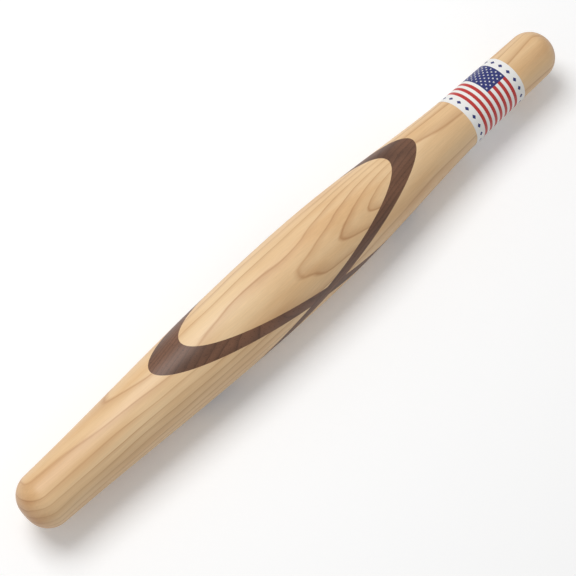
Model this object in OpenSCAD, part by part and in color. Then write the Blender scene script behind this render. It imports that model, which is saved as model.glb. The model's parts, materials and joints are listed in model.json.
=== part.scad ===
// French rolling pin turned from one glued blank: four blocks of pale maple, two crossing
// strips of walnut that run right through it, and a paper band round the right-hand grip.
// The pin lies along X with its turning axis on the X axis, Z is up, and the middle of its
// length is at the origin. All sizes are in millimetres.

/* [Turned outline] */
// Overall length of the pin
pin_length = 432; // [360:1:520]
// Diameter at the thickest place
belly_d = 50; // [44:0.5:60]
// Place of the thickest point along X
belly_x = -4.5; // [-25:0.5:25]
// Diameter of the left grip, as if it ran square to the end
left_grip_d = 32.8; // [30:0.2:38]
// Diameter that the left grip gains in each 100 mm towards the middle
left_taper = 3.6; // [0:0.2:6]
// Diameter of the right grip, as if it ran square to the end
right_grip_d = 31.2; // [30:0.2:38]
// Diameter that the right grip gains in each 100 mm towards the middle
right_taper = 3; // [0:0.2:6]
// Length of the right grip before it swells into the belly
right_grip_length = 69; // [40:1:120]
// Radius that rounds both ends
end_radius = 14; // [6:0.5:14.5]

/* [Walnut strips] */
// Thickness of the two strips
strip_t = 6.6; // [3:0.2:10]
// Slope of each strip against the turning axis, in degrees
strip_angle = 13.2; // [10:0.1:24]
// Place along X where the strips cross
crossing_x = -6.5; // [-30:0.5:30]
// Height of the crossing above the turning axis, measured across the strips
crossing_height = -1.1; // [-4:0.1:4]
// Turn of the whole lamination about the turning axis, in degrees
strip_roll = -14.4; // [-180:0.1:180]

/* [Paper band] */
// Width of the band along the pin
label_width = 45.4; // [15:0.2:70]
// Distance from the right end of the pin to the near edge of the band
label_from_end = 38.6; // [20:0.2:80]
// Thickness of the paper with its glue
label_t = 0.15; // [0.1:0.01:0.4]

/* [Hidden] */

maple = "#E4BF8D";
walnut = "#6E4A35";
paper = "#F2F0EA";

half_length = pin_length / 2;
reach = 1.5 * pin_length;         // how far a wedge or strip runs, well past the ends
turning_facets = 120;
arc_facets = 96;
outline_steps = 64;               // straight steps that follow the eased outline
label_steps = 12;
right_grip_start = half_length - right_grip_length;

// Slope of each grip's side, as an angle, and where its end rounding touches it
left_slope = atan(left_taper / 200);
right_slope = atan(right_taper / 200);
left_touch = -half_length + end_radius * (1 - sin(left_slope));
right_touch = half_length - end_radius * (1 - sin(right_slope));

// Radius of each grip's plain cone at a place along X
function left_cone(x) = left_grip_d / 2 + (x + half_length) * tan(left_slope);
function right_cone(x) = right_grip_d / 2 + (half_length - x) * tan(right_slope);

// Goes from 0 to 1 with a level start and a level finish
function ease(t) = t * t * (3 - 2 * t);
function blend(from, to, share) = from * (1 - share) + to * share;

// Radius of the finished pin at a place along X, up to where the end roundings start
function pin_radius(x) =
    x < belly_x
        ? blend(left_cone(x), belly_d / 2, ease((x + half_length) / (belly_x + half_length)))
        : x < right_grip_start
            ? blend(right_cone(x), belly_d / 2,
                    ease((right_grip_start - x) / (right_grip_start - belly_x)))
            : right_cone(x);

// Outline points from one place along X to another, as [radius, x]
function outline(from, to, steps) =
    [for (i = [0:steps]) let (x = blend(from, to, i / steps)) [pin_radius(x), x]];

// Half of the pin's section: radius to the right, length upwards
module pin_section() {
    belly_points = concat(
        [[0, left_touch]],
        outline(left_touch, right_touch, outline_steps),
        [[0, right_touch]]
    );
    polygon(belly_points);
    rounded_end(left_touch, -half_length + end_radius, pin_radius(left_touch), left_slope, -1);
    rounded_end(right_touch, half_length - end_radius, pin_radius(right_touch), right_slope, 1);
}

// One end of the section: a round edge that meets the grip's side and leaves a small flat
module rounded_end(touch, centre, side_radius, slope, way) {
    core = side_radius - end_radius * cos(slope);
    intersection() {
        translate([core, centre])
            circle(r = end_radius, $fn = arc_facets);
        translate([0, way > 0 ? touch : -half_length])
            square([side_radius + end_radius, abs(half_length - abs(touch))]);
    }
    translate([0, way > 0 ? centre : -half_length])
        square([core, end_radius]);
}

// The pin as it comes off the lathe, lying along X
module turned_pin() {
    rotate([0, 90, 0])
        rotate_extrude($fn = turning_facets)
            pin_section();
}

// Stands a shape drawn in the plane of the two strips across the whole pin
module across_pin() {
    rotate([strip_roll, 0, 0])
        rotate([90, 0, 0])
            linear_extrude(height = 2 * belly_d, center = true)
                children();
}

// The part of the turned pin that lies inside a shape drawn in the plane of the strips
module turned_piece() {
    intersection() {
        turned_pin();
        across_pin()
            children();
    }
}

// Corners of the lozenge in which the strips cross
crossing = [crossing_x, crossing_height];
crossing_rise = strip_t / 2 / cos(strip_angle);
crossing_run = strip_t / 2 / sin(strip_angle);

// A block's shape: from one corner of the lozenge out between two directions
module wedge(corner, first, last) {
    polygon([
        corner,
        corner + reach * [cos(first), sin(first)],
        corner + reach * [cos(last), sin(last)]
    ]);
}

// The strip that rises to the right and was glued in last, so it runs through unbroken
module through_strip_shape() {
    translate(crossing)
        rotate(strip_angle)
            square([2 * reach, strip_t], center = true);
}

// Half of the strip that falls to the right, cut off by the through strip
module split_strip_shape(direction) {
    difference() {
        translate(crossing)
            rotate(direction)
                translate([0, -strip_t / 2])
                    square([reach, strip_t]);
        through_strip_shape();
    }
}

module left_maple_block() {
    color(maple)
        turned_piece()
            wedge(crossing - [crossing_run, 0], 180 - strip_angle, 180 + strip_angle);
}

module right_maple_block() {
    color(maple)
        turned_piece()
            wedge(crossing + [crossing_run, 0], -strip_angle, strip_angle);
}

module top_maple_wedge() {
    color(maple)
        turned_piece()
            wedge(crossing + [0, crossing_rise], strip_angle, 180 - strip_angle);
}

module bottom_maple_wedge() {
    color(maple)
        turned_piece()
            wedge(crossing - [0, crossing_rise], 180 + strip_angle, 360 - strip_angle);
}

module walnut_through_strip() {
    color(walnut)
        turned_piece()
            through_strip_shape();
}

module walnut_split_strip_left() {
    color(walnut)
        turned_piece()
            split_strip_shape(180 - strip_angle);
}

module walnut_split_strip_right() {
    color(walnut)
        turned_piece()
            split_strip_shape(-strip_angle);
}

// Paper glued flat on the grip all the way round
module label_band() {
    label_right = half_length - label_from_end;
    label_left = label_right - label_width;
    band_points = [for (p = outline(label_left, label_right, label_steps)) p + [label_t, 0]];
    color(paper)
        rotate([0, 90, 0])
            rotate_extrude($fn = turning_facets)
                difference() {
                    polygon(concat([[0, label_left]], band_points, [[0, label_right]]));
                    pin_section();
                }
}

left_maple_block();
right_maple_block();
top_maple_wedge();
bottom_maple_wedge();
walnut_through_strip();
walnut_split_strip_left();
walnut_split_strip_right();
label_band();
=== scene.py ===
"""A french rolling pin of maple, crossed by two walnut strips, with a paper label round its right grip."""
import json
import math

import bpy
from mathutils import Matrix, Vector

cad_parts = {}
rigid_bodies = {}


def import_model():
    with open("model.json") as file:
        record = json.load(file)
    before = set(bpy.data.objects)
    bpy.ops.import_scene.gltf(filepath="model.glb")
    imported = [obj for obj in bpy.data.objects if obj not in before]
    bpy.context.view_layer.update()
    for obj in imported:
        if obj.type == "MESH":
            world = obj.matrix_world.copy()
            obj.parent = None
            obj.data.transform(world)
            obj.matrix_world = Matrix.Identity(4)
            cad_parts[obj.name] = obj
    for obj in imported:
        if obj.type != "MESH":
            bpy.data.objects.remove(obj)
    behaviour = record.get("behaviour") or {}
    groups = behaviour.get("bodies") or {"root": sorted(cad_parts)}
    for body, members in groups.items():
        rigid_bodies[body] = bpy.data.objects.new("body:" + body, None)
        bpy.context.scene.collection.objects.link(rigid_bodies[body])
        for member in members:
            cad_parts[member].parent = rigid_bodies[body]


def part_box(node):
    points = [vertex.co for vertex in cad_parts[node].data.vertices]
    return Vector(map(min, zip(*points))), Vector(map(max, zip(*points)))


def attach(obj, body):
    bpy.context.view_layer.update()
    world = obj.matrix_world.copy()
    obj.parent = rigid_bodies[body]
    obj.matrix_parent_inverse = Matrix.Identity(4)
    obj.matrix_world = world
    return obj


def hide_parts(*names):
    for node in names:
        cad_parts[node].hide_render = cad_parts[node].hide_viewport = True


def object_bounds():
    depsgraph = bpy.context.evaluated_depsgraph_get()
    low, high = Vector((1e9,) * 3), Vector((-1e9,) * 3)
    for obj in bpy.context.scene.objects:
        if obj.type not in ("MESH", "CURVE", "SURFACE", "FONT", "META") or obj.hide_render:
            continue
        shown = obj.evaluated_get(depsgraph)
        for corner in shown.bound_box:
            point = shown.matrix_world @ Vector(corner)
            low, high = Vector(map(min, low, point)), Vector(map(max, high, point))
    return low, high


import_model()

for leftover in [o for o in bpy.data.objects if o.name in ("Cube", "Light", "Camera")]:
    bpy.data.objects.remove(leftover)
cad_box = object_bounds()

MM = 0.001

# Camera: the photograph's viewpoint
CAMERA_PLACE = Vector((-0.2971, -0.2763, 0.7744))
CAMERA_RIGHT = Vector((0.6994, -0.7147, 0.0))
CAMERA_UP = Vector((0.6390, 0.6252, 0.4481))
CAMERA_LENS = 93.75
CAMERA_SENSOR = 36

# Studio: a big soft lamp over the back of the pin, and an even world
LAMP_PLACE = Vector((-0.1, 0.5, 1.15))
LAMP_SIZE = 0.7
LAMP_POWER = 9.5
WORLD_LEVEL = 0.42
FLOOR_SIZE = 8
FLOOR_TONE = 0.78
FLOOR_TONE_SEEN = 1.0
FLOOR_GLOW = 0.1
FLOOR_ROUGHNESS = 0.9

# Wood: the light and middle tones and the line that ends each ring
MAPLE = ("#F0CFA2", "#E3B885", "#B98557")
WALNUT = ("#7E5740", "#5E3F2D", "#3F281B")
MAPLE_WARP = 6 * MM
WALNUT_WARP = 7 * MM
MAPLE_ROUGHNESS = 0.42
WALNUT_ROUGHNESS = 0.45
WALNUT_PORES = 0.75
PORE_TONE = "#2E1D14"
END_GRAIN_TONE = "#C9A07C"
END_GRAIN_SHARE = 0.55
FIBRE_CONTRAST = 0.22
BUMP_STRENGTH = 0.12
BUMP_HEIGHT = 0.2 * MM

# Darkness through one ring, from its start to its end
LATE_WOOD = [(0.0, 0.55), (0.06, 0.0), (0.55, 0.0), (0.9, 0.45), (0.97, 1.0), (1.0, 0.6)]
BROAD_TONES = [(0.35, 0.0), (0.68, 1.0)]
PORE_FROM, PORE_TO = 0.62, 0.72

# Noise scales per metre: along the grain, then across it
SWAY_SCALE = (9.0, 45.0, 45.0)
FADING_SCALE = (14.0, 60.0, 60.0)
BROAD_SCALE = (10.0, 70.0, 70.0)
FIBRE_SCALE = (70.0, 1500.0, 1500.0)
PORE_SCALE = (260.0, 3200.0, 3200.0)
PAPER_SCALE = (900.0, 900.0, 900.0)

# How each piece is cut from its board: heart line, turns in radians, width of a ring in metres
MAPLE_CUTS = {
    "left_maple_block": dict(heart=(0.0, 0.030, 0.016), turn=(0.0, 0.035, 0.05), ring_width=0.0042),
    "right_maple_block": dict(heart=(0.1, -0.034, 0.022), turn=(0.4, -0.02, -0.045), ring_width=0.0048),
    "top_maple_wedge": dict(heart=(0.2, 0.006, -0.012), turn=(0.0, 0.075, 0.02), ring_width=0.0034),
    "bottom_maple_wedge": dict(heart=(0.3, 0.022, 0.040), turn=(0.9, -0.05, 0.03), ring_width=0.0046),
}
WALNUT_CUTS = {
    "walnut_through_strip": dict(heart=(0.0, 0.050, 0.030), turn=(0.0, 0.23, 0.02), ring_width=0.0026),
    "walnut_split_strip_left": dict(heart=(0.1, -0.040, 0.035), turn=(0.0, -0.23, 0.03), ring_width=0.0023),
    "walnut_split_strip_right": dict(heart=(0.4, -0.046, 0.030), turn=(0.0, -0.23, -0.03), ring_width=0.0025),
}

# Label: the sheet, in degrees from the top of the pin towards the back
SHEET_FROM = -190
SHEET_TO = 184
LAP_CLIMB = 6
LAP_LIFT = 1.08
SHEET_THICKNESS = 0.15 * MM
ROW_ANGLE = 2
BORDER = 7.5 * MM
BORDER_COLUMNS = 5
COLUMNS_PER_STRIPE = 2
EDGE_INSET = 0.02 * MM
RAY_HEIGHT = 0.1
SHARP_ANGLE = 40

# Label: its print, where the hoist is the flag's edge beside the canton
STRIPES = 13
CANTON_STRIPES = 7
CANTON_EDGE = -14
CANTON_ARC = 84
FLAG_ARC = 206
HOIST = CANTON_EDGE + CANTON_ARC
INK_THICKNESS = 0.03 * MM
STAR_ROWS = 9
STAR_PLACES = 11
STAR_CORNERS = 10
STAR_RADIUS = 0.75 * MM
STAR_PULL = 0.58
LOZENGE_LENGTH = 3.4 * MM
LOZENGE_HEIGHT = 2.6 * MM
LOZENGE_ARC = 22
PAPER_TONE, PAPER_ROUGHNESS = "#F4F3F0", 0.5
RED_TONE, NAVY_TONE, INK_ROUGHNESS = "#C43330", "#2A3275", 0.42
MOTTLE = 0.03


def linear(code):
    """The linear colour of an sRGB hex code, with alpha."""
    channels = [int(code[i:i + 2], 16) / 255 for i in (1, 3, 5)]
    return (*[c / 12.92 if c < 0.04045 else ((c + 0.055) / 1.055) ** 2.4 for c in channels], 1.0)


def grey(level):
    return (level, level, level, 1.0)


class Nodes:
    """Adds nodes to one tree and links them, so that a formula reads as a chain of calls."""

    def __init__(self, tree):
        self.tree = tree

    def put(self, socket, value):
        if isinstance(value, bpy.types.NodeSocket):
            self.tree.links.new(value, socket)
        elif value is not None:
            socket.default_value = value

    def add(self, kind, inputs=None, **settings):
        node = self.tree.nodes.new(kind)
        for name, value in settings.items():
            setattr(node, name, value)
        for socket, value in (inputs or {}).items():
            self.put(node.inputs[socket], value)
        return node

    def math(self, operation, *values):
        node = self.add("ShaderNodeMath", operation=operation)
        for socket, value in zip(node.inputs, values):
            self.put(socket, value)
        return node.outputs[0]

    def xyz(self, vector):
        return self.add("ShaderNodeSeparateXYZ", {0: vector}).outputs

    def vector(self, x=0.0, y=0.0, z=0.0):
        return self.add("ShaderNodeCombineXYZ", {0: x, 1: y, 2: z}).outputs[0]


def new_material(name):
    """A material with its nodes and its shader."""
    material = bpy.data.materials.new(name)
    material.use_nodes = True
    n = Nodes(material.node_tree)
    return material, n, n.tree.nodes["Principled BSDF"]


def noise(n, vector, scale, detail=2.0, roughness=0.5):
    """Noise with its own scale along each axis, as 0 to 1."""
    scaled = n.add("ShaderNodeVectorMath", {0: vector, 1: scale}, operation="MULTIPLY").outputs[0]
    texture = n.add("ShaderNodeTexNoise", {
        "Vector": scaled, "Scale": 1.0, "Detail": detail, "Roughness": roughness})
    return texture.outputs["Fac"]


def ramp(n, factor, stops):
    """A grey ramp through (place, level) stops."""
    node = n.add("ShaderNodeValToRGB", {"Fac": factor})
    elements = node.color_ramp.elements
    while len(elements) < len(stops):
        elements.new(0.5)
    for element, (place, level) in zip(elements, stops):
        element.position = place
        element.color = grey(level)
    return node.outputs["Color"]


def blend(n, kind, factor, a, b):
    """Two colours mixed."""
    node = n.add("ShaderNodeMix", data_type="RGBA", blend_type=kind)
    n.put(node.inputs[0], factor)
    n.put(node.inputs[6], a)
    n.put(node.inputs[7], b)
    return node.outputs[2]


def ring_lines(n, place, ring_width, warp):
    """How dark the late wood is: rings round the heart line, which sway and fade along the board."""
    along, y, z = n.xyz(place)
    sway = n.math("SUBTRACT", noise(n, place, SWAY_SCALE), 0.5)
    distance = n.add("ShaderNodeVectorMath", {0: n.vector(0.0, y, z)}, operation="LENGTH").outputs["Value"]
    distance = n.math("ADD", distance, n.math("MULTIPLY", sway, warp))
    through_ring = n.math("FRACT", n.math("DIVIDE", distance, ring_width))
    fading = n.math("MULTIPLY_ADD", noise(n, place, FADING_SCALE, 1.0), 1.1, 0.05)
    return n.math("MULTIPLY", ramp(n, through_ring, LATE_WOOD), fading)


def wood(name, tones, heart, turn, ring_width, warp, pores, roughness):
    """Wood whose growth rings lie round a heart line, with fibres along it and darker end grain."""
    light, middle, line = (linear(t) for t in tones)
    material, n, shader = new_material(name)
    coordinates = n.add("ShaderNodeTexCoord").outputs
    place = n.add("ShaderNodeMapping", {
        "Vector": coordinates["Object"], "Location": heart, "Rotation": turn}).outputs[0]

    broad = ramp(n, noise(n, place, BROAD_SCALE), BROAD_TONES)
    colour = blend(n, "MIX", broad, light, middle)
    colour = blend(n, "MIX", ring_lines(n, place, ring_width, warp), colour, line)

    fibre = noise(n, place, FIBRE_SCALE, 3.0, 0.6)
    shade = n.math("MULTIPLY_ADD", fibre, FIBRE_CONTRAST, 1 - FIBRE_CONTRAST / 2)
    colour = blend(n, "MULTIPLY", 1.0, colour, n.vector(shade, shade, shade))
    if pores:
        fleck = ramp(n, noise(n, place, PORE_SCALE, 1.0), [(PORE_FROM, 0.0), (PORE_TO, pores)])
        colour = blend(n, "MIX", fleck, colour, linear(PORE_TONE))

    across = n.math("ABSOLUTE", n.xyz(coordinates["Normal"])[0])
    end = n.math("MULTIPLY", n.math("POWER", across, 2.0), END_GRAIN_SHARE)
    end_colour = blend(n, "MULTIPLY", 1.0, colour, linear(END_GRAIN_TONE))
    n.put(shader.inputs["Base Color"], blend(n, "MIX", end, colour, end_colour))
    shader.inputs["Roughness"].default_value = roughness
    bump = n.add("ShaderNodeBump", {"Height": fibre, "Strength": BUMP_STRENGTH, "Distance": BUMP_HEIGHT})
    n.put(shader.inputs["Normal"], bump.outputs[0])
    return material


def plain(name, code, roughness):
    """A printed or paper surface, one colour with a faint mottle."""
    material, n, shader = new_material(name)
    place = n.add("ShaderNodeTexCoord").outputs["Object"]
    shade = n.math("MULTIPLY_ADD", noise(n, place, PAPER_SCALE, 3.0), MOTTLE, 1 - MOTTLE / 2)
    colour = blend(n, "MULTIPLY", 1.0, linear(code), n.vector(shade, shade, shade))
    n.put(shader.inputs["Base Color"], colour)
    shader.inputs["Roughness"].default_value = roughness
    return material


def finish_wood():
    """Every wooden node gets its own piece of maple or walnut."""
    for node, cut in MAPLE_CUTS.items():
        material = wood("maple_" + node, MAPLE, warp=MAPLE_WARP, pores=0.0,
                        roughness=MAPLE_ROUGHNESS, **cut)
        bpy.data.objects[node].material_slots[0].material = material
    for node, cut in WALNUT_CUTS.items():
        material = wood("walnut_" + node, WALNUT, warp=WALNUT_WARP, pores=WALNUT_PORES,
                        roughness=WALNUT_ROUGHNESS, **cut)
        bpy.data.objects[node].material_slots[0].material = material


def position(n):
    """The x, y and z of each point of a geometry."""
    return n.xyz(n.add("GeometryNodeInputPosition").outputs[0])


def moved(n, geometry, place=None, offset=None):
    """A geometry with its points set to a place or shifted."""
    inputs = {"Geometry": geometry, "Position": place, "Offset": offset}
    return n.add("GeometryNodeSetPosition", inputs).outputs[0]


def inked(n, geometry, material, selection=None):
    """A geometry with a material on all of it or on the selected faces."""
    inputs = {"Geometry": geometry, "Selection": selection, "Material": material}
    return n.add("GeometryNodeSetMaterial", inputs).outputs[0]


def repeated(n, points, piece, selection=None):
    """A piece on every point, or on the selected ones, as one mesh."""
    copies = n.add("GeometryNodeInstanceOnPoints", {
        "Points": points, "Instance": piece, "Selection": selection}).outputs[0]
    return n.add("GeometryNodeRealizeInstances", {"Geometry": copies}).outputs[0]


def all_of(n, *tests):
    """True where every test is."""
    found = tests[0]
    for test in tests[1:]:
        found = n.math("MULTIPLY", found, test)
    return found


def flat_sheet(n, given, degree, stripe):
    """The paper, flat: columns run along the pin, rows round it."""
    flag_columns = STRIPES * COLUMNS_PER_STRIPE
    columns = flag_columns + 2 * BORDER_COLUMNS
    rows = (SHEET_TO - SHEET_FROM) // ROW_ANGLE
    slab = n.add("GeometryNodeMeshCube", {
        "Size": (columns, rows, 1), "Vertices X": columns + 1, "Vertices Y": rows + 1,
        "Vertices Z": 2}).outputs["Mesh"]
    x, y, z = position(n)
    column = n.math("ADD", x, columns / 2)
    row = n.math("ADD", y, rows / 2)
    border_step = n.math("DIVIDE", given["Border"], BORDER_COLUMNS)
    near = n.math("MULTIPLY", n.math("MINIMUM", column, BORDER_COLUMNS), border_step)
    inside = n.math("MAXIMUM", n.math("SUBTRACT", column, BORDER_COLUMNS), 0)
    inside = n.math("MULTIPLY", n.math("MINIMUM", inside, flag_columns),
                    n.math("DIVIDE", stripe, COLUMNS_PER_STRIPE))
    far = n.math("MAXIMUM", n.math("SUBTRACT", column, BORDER_COLUMNS + flag_columns), 0)
    far = n.math("MULTIPLY", far, border_step)
    along = n.math("ADD", n.math("ADD", near, inside), far)
    angle = n.math("MULTIPLY_ADD", row, ROW_ANGLE, SHEET_FROM)
    depth = n.math("MULTIPLY", n.math("SUBTRACT", z, 0.5), given["Sheet thickness"])
    slab = moved(n, slab, n.vector(along, n.math("MULTIPLY", angle, degree), depth))
    return inked(n, slab, given["Paper"])


def printed_flag(n, slab, given, degree, stripe, flag_edge):
    """The sheet with red stripes round the pin and the canton over the first of them."""
    x, y, z = position(n)
    turned = n.math("DIVIDE", y, degree)
    count = n.math("FLOOR", n.math("DIVIDE", n.math("SUBTRACT", flag_edge, x), stripe))
    outer_face = n.math("GREATER_THAN", z, n.math("MULTIPLY", given["Sheet thickness"], -0.25))
    in_flag = all_of(
        n, outer_face,
        n.math("GREATER_THAN", count, -0.5),
        n.math("LESS_THAN", count, STRIPES - 0.5),
        n.math("LESS_THAN", turned, HOIST),
        n.math("GREATER_THAN", turned, HOIST - FLAG_ARC))
    even = n.math("LESS_THAN", n.math("MODULO", count, 2), 0.5)
    slab = inked(n, slab, given["Red ink"], all_of(n, in_flag, even))
    canton = all_of(
        n, in_flag,
        n.math("LESS_THAN", count, CANTON_STRIPES - 0.5),
        n.math("GREATER_THAN", turned, CANTON_EDGE))
    return inked(n, slab, given["Navy ink"], canton)


def stars(n, given, degree, stripe, flag_edge):
    """Nine rows of stars on the canton, of six and five by turns: every second place of a grid."""
    canton_width = n.math("MULTIPLY", stripe, CANTON_STRIPES)
    canton_length = n.math("MULTIPLY", degree, CANTON_ARC)
    row_step = n.math("DIVIDE", canton_width, STAR_ROWS + 1)
    place_step = n.math("DIVIDE", canton_length, STAR_PLACES + 1)
    grid = n.add("GeometryNodeMeshGrid", {
        "Size X": n.math("MULTIPLY", row_step, STAR_ROWS - 1),
        "Size Y": n.math("MULTIPLY", place_step, STAR_PLACES - 1),
        "Vertices X": STAR_ROWS, "Vertices Y": STAR_PLACES}).outputs["Mesh"]
    middle = n.vector(n.math("SUBTRACT", flag_edge, n.math("DIVIDE", canton_width, 2)),
                      n.math("MULTIPLY", degree, CANTON_EDGE + CANTON_ARC / 2))
    grid = moved(n, grid, offset=middle)

    star = n.add("GeometryNodeMeshCylinder", {
        "Vertices": STAR_CORNERS, "Radius": given["Star radius"],
        "Depth": given["Ink thickness"]}).outputs["Mesh"]
    odd = n.math("MODULO", n.add("GeometryNodeInputIndex").outputs[0], 2)
    pull = n.math("SUBTRACT", 1.0, n.math("MULTIPLY", odd, STAR_PULL))
    x, y, z = position(n)
    star = moved(n, star, n.vector(n.math("MULTIPLY", x, pull), n.math("MULTIPLY", y, pull), z))
    return inked(n, repeated(n, grid, star, n.math("LESS_THAN", odd, 0.5)), given["Paper"])


def lozenges(n, given, degree):
    """A row of lozenges along the middle of each border."""
    count_round = int(FLAG_ARC / LOZENGE_ARC)
    grid = n.add("GeometryNodeMeshGrid", {
        "Size X": n.math("SUBTRACT", given["Width"], given["Border"]),
        "Size Y": n.math("MULTIPLY", degree, (count_round - 1) * LOZENGE_ARC),
        "Vertices X": 2, "Vertices Y": count_round}).outputs["Mesh"]
    grid = moved(n, grid, offset=n.vector(
        n.math("DIVIDE", given["Width"], 2), n.math("MULTIPLY", degree, HOIST - FLAG_ARC / 2)))
    lozenge = n.add("GeometryNodeMeshCylinder", {
        "Vertices": 4, "Radius": 1.0, "Depth": given["Ink thickness"]}).outputs["Mesh"]
    lozenge = n.add("GeometryNodeSubdivideMesh", {"Mesh": lozenge, "Level": 2}).outputs[0]
    x, y, z = position(n)
    lozenge = moved(n, lozenge, n.vector(
        n.math("MULTIPLY", x, LOZENGE_HEIGHT / 2), n.math("MULTIPLY", y, LOZENGE_LENGTH / 2), z))
    return inked(n, repeated(n, grid, lozenge), given["Navy ink"])


def wrapped(n, flat, given, degree):
    """The flat print wrapped round the pin, at the CAD label's own radius, found by a ray from above."""
    x, y, z = position(n)
    along = n.math("ADD", x, given["Start"])
    first = n.math("ADD", given["Start"], EDGE_INSET)
    last = n.math("SUBTRACT", n.math("ADD", given["Start"], given["Width"]), EDGE_INSET)
    sample = n.math("MINIMUM", n.math("MAXIMUM", along, first), last)
    body = n.add("GeometryNodeObjectInfo", {"Object": given["CAD label"]}).outputs["Geometry"]
    ray = n.add("GeometryNodeRaycast", {
        "Target Geometry": body, "Source Position": n.vector(sample, 0.0, RAY_HEIGHT),
        "Ray Direction": (0.0, 0.0, -1.0), "Ray Length": 2 * RAY_HEIGHT})
    surface = n.xyz(ray.outputs["Hit Position"])[2]

    # the last degrees climb over the first ones, as a lap
    turned = n.math("DIVIDE", y, degree)
    climb = n.math("DIVIDE", n.math("SUBTRACT", turned, SHEET_FROM + 360 - LAP_CLIMB), LAP_CLIMB)
    climb = n.math("MULTIPLY", n.math("MINIMUM", n.math("MAXIMUM", climb, 0), 1), LAP_LIFT)
    radius = n.math("ADD", n.math("ADD", surface, z), n.math("MULTIPLY", climb, given["Sheet thickness"]))
    bearing = n.math("RADIANS", turned)
    return moved(n, flat, n.vector(
        along, n.math("MULTIPLY", radius, n.math("SINE", bearing)),
        n.math("MULTIPLY", radius, n.math("COSINE", bearing))))


def label_tree(inputs):
    """The tree that prints the sheet flat and wraps it round the pin, with its sizes as named inputs."""
    tree = bpy.data.node_groups.new("Wrapped label", "GeometryNodeTree")
    for name, kind in inputs:
        tree.interface.new_socket(name, in_out="INPUT", socket_type=kind)
    tree.interface.new_socket("Geometry", in_out="OUTPUT", socket_type="NodeSocketGeometry")
    n = Nodes(tree)
    given = n.add("NodeGroupInput").outputs
    degree = n.math("MULTIPLY", given["Mean radius"], math.radians(1))
    flag_width = n.math("SUBTRACT", given["Width"], n.math("MULTIPLY", given["Border"], 2))
    stripe = n.math("DIVIDE", flag_width, STRIPES)
    flag_edge = n.math("SUBTRACT", given["Width"], given["Border"])

    slab = flat_sheet(n, given, degree, stripe)
    slab = printed_flag(n, slab, given, degree, stripe, flag_edge)
    join = n.add("GeometryNodeJoinGeometry")
    for piece in (lozenges(n, given, degree), stars(n, given, degree, stripe, flag_edge), slab):
        tree.links.new(piece, join.inputs[0])
    label = wrapped(n, join.outputs[0], given, degree)
    label = n.add("GeometryNodeSetShadeSmooth", {"Geometry": label, "Shade Smooth": True}).outputs[0]
    label = n.add("GeometryNodeRealizeInstances", {"Geometry": label}).outputs[0]
    tree.links.new(label, n.add("NodeGroupOutput").inputs[0])
    return tree


def make_label():
    """The printed paper sheet, wrapped round the right grip with its lap underneath."""
    low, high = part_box("label_band")
    inputs = [
        ("CAD label", "NodeSocketObject", bpy.data.objects["label_band"]),
        ("Start", "NodeSocketFloat", low[0]),
        ("Width", "NodeSocketFloat", high[0] - low[0]),
        ("Mean radius", "NodeSocketFloat", (high[2] - low[2]) / 2),
        ("Border", "NodeSocketFloat", BORDER),
        ("Sheet thickness", "NodeSocketFloat", SHEET_THICKNESS),
        ("Ink thickness", "NodeSocketFloat", INK_THICKNESS),
        ("Star radius", "NodeSocketFloat", STAR_RADIUS),
        ("Paper", "NodeSocketMaterial", plain("label_paper", PAPER_TONE, PAPER_ROUGHNESS)),
        ("Red ink", "NodeSocketMaterial", plain("printed_red", RED_TONE, INK_ROUGHNESS)),
        ("Navy ink", "NodeSocketMaterial", plain("printed_navy", NAVY_TONE, INK_ROUGHNESS)),
    ]
    tree = label_tree([(name, kind) for name, kind, value in inputs])
    carrier = bpy.data.objects.new("label_carrier", bpy.data.meshes.new("label_carrier"))
    bpy.context.scene.collection.objects.link(carrier)
    modifier = carrier.modifiers.new("Wrapped label", "NODES")
    modifier.node_group = tree
    sockets = {s.name: s.identifier for s in tree.interface.items_tree if s.in_out == "INPUT"}
    for name, kind, value in inputs:
        modifier[sockets[name]] = value
    bpy.context.view_layer.update()
    depsgraph = bpy.context.evaluated_depsgraph_get()
    mesh = bpy.data.meshes.new_from_object(carrier.evaluated_get(depsgraph), depsgraph=depsgraph)
    bpy.data.objects.remove(carrier)
    mesh.name = "printed_label"
    mesh.set_sharp_from_angle(angle=math.radians(SHARP_ANGLE))
    label = bpy.data.objects.new("printed_label", mesh)
    bpy.context.scene.collection.objects.link(label)
    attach(label, "root")
    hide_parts("label_band")


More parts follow.
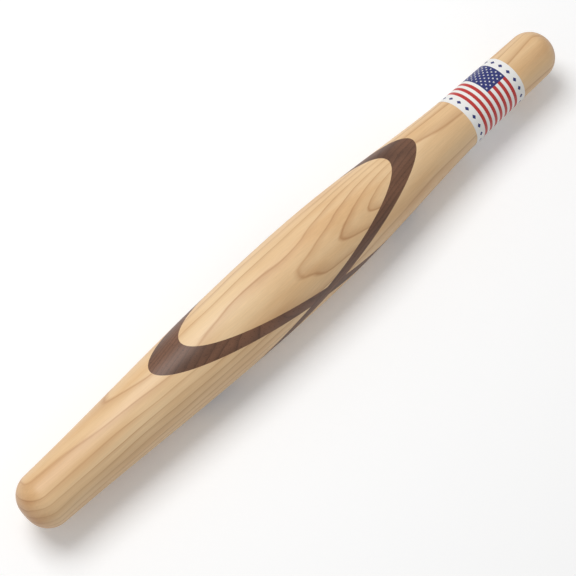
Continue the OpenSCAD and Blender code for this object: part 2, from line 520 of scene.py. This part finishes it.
def make_floor():
    """A pale floor under the belly; it keeps the pin's shadow."""
    mesh = bpy.data.meshes.new("studio_floor")
    s, z = FLOOR_SIZE / 2, cad_box[0][2]
    mesh.from_pydata([(-s, -s, z), (s, -s, z), (s, s, z), (-s, s, z)], [], [(0, 1, 2, 3)])
    material, n, shader = new_material("studio_floor")
    path = n.add("ShaderNodeLightPath").outputs
    seen = n.math("MINIMUM", n.math("ADD", path["Is Camera Ray"], path["Is Glossy Ray"]), 1)
    n.put(shader.inputs["Base Color"], blend(n, "MIX", seen, grey(FLOOR_TONE), grey(FLOOR_TONE_SEEN)))
    n.put(shader.inputs["Emission Strength"], n.math("MULTIPLY", seen, FLOOR_GLOW))
    shader.inputs["Emission Color"].default_value = grey(1.0)
    shader.inputs["Roughness"].default_value = FLOOR_ROUGHNESS
    shader.inputs["Specular IOR Level"].default_value = 0.0
    mesh.materials.append(material)
    floor = bpy.data.objects.new("studio_floor", mesh)
    bpy.context.scene.collection.objects.link(floor)


def make_lamp():
    """The soft lamp, turned to the middle of the pin."""
    lamp = bpy.data.lights.new("soft_lamp", "AREA")
    lamp.size = LAMP_SIZE
    lamp.energy = LAMP_POWER
    lamp_object = bpy.data.objects.new("soft_lamp", lamp)
    bpy.context.scene.collection.objects.link(lamp_object)
    lamp_object.location = LAMP_PLACE
    lamp_object.rotation_euler = (-LAMP_PLACE).to_track_quat("-Z", "Y").to_euler()


def make_world():
    """An even grey world, white where the camera sees it."""
    world = bpy.data.worlds.new("studio")
    world.use_nodes = True
    bpy.context.scene.world = world
    n = Nodes(world.node_tree)
    background = n.tree.nodes["Background"]
    background.inputs["Color"].default_value = grey(1.0)
    seen = n.add("ShaderNodeLightPath").outputs["Is Camera Ray"]
    n.put(background.inputs["Strength"], n.math("MULTIPLY_ADD", seen, 1 - WORLD_LEVEL, WORLD_LEVEL))


def make_camera():
    """The camera, by its place and its right and up directions."""
    camera = bpy.data.cameras.new("camera")
    camera.lens = CAMERA_LENS
    camera.sensor_width = CAMERA_SENSOR
    camera_object = bpy.data.objects.new("camera", camera)
    bpy.context.scene.collection.objects.link(camera_object)
    back = CAMERA_RIGHT.cross(CAMERA_UP)
    turn = Matrix((CAMERA_RIGHT, CAMERA_UP, back)).transposed().to_4x4()
    camera_object.matrix_world = Matrix.Translation(CAMERA_PLACE) @ turn
    bpy.context.scene.camera = camera_object
    bpy.context.scene.view_settings.view_transform = "Standard"


finish_wood()
make_label()
make_floor()
make_lamp()
make_world()
make_camera()
